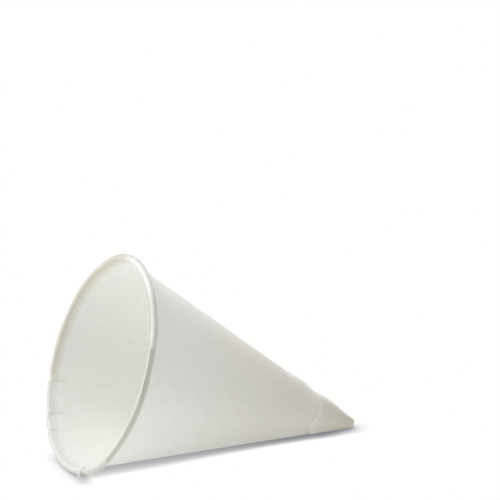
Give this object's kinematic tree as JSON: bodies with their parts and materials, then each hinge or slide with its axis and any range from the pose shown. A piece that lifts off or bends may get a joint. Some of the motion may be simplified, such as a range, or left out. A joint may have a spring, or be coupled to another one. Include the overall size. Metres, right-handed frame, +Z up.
{
  "type": "cone paper cup",
  "caption": "Cone-shaped paper water cup, wound from one sheet with an overlapping seam, a closed tip and a rim rolled outwards, lying on its side.",
  "frame": {"origin": "on the surface that the cup lies on, under the centre of its bounding box", "axes": "+X towards the closed tip, -X the side that the mouth opens to, +Z up; the cup's own axis rises by 20 degrees from the tip to the mouth, in the XZ plane"},
  "size_m": [0.1046, 0.073, 0.0686],
  "materials": {
    "paper": "uncoated matte white paper"
  },
  "bodies": {
    "root": {"paper_cone": "paper"}
  },
  "joints": []
}
